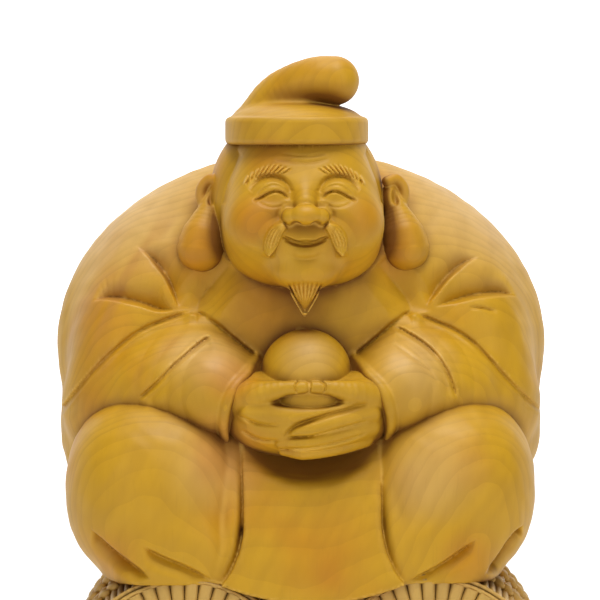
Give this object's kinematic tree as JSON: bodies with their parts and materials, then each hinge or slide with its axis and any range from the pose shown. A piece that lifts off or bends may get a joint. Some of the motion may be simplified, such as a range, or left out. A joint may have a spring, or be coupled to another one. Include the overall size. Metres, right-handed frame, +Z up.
{
  "type": "daikoku figure",
  "caption": "Boxwood carving of a seated lucky god in a soft cap, a jewel in his hands, on a pair of straw rice bales with a flat underside.",
  "frame": {"origin": "middle of the flat underside, at the bottom centre of the carving's bounding box", "axes": "+Z up, the figure looks along -Y, +X is towards the viewer's right"},
  "size_m": [0.0984, 0.0731, 0.1417],
  "materials": {
    "boxwood": "satin, hand carved and lightly polished"
  },
  "bodies": {
    "root": {"daikoku_figure": "boxwood"}
  },
  "joints": []
}
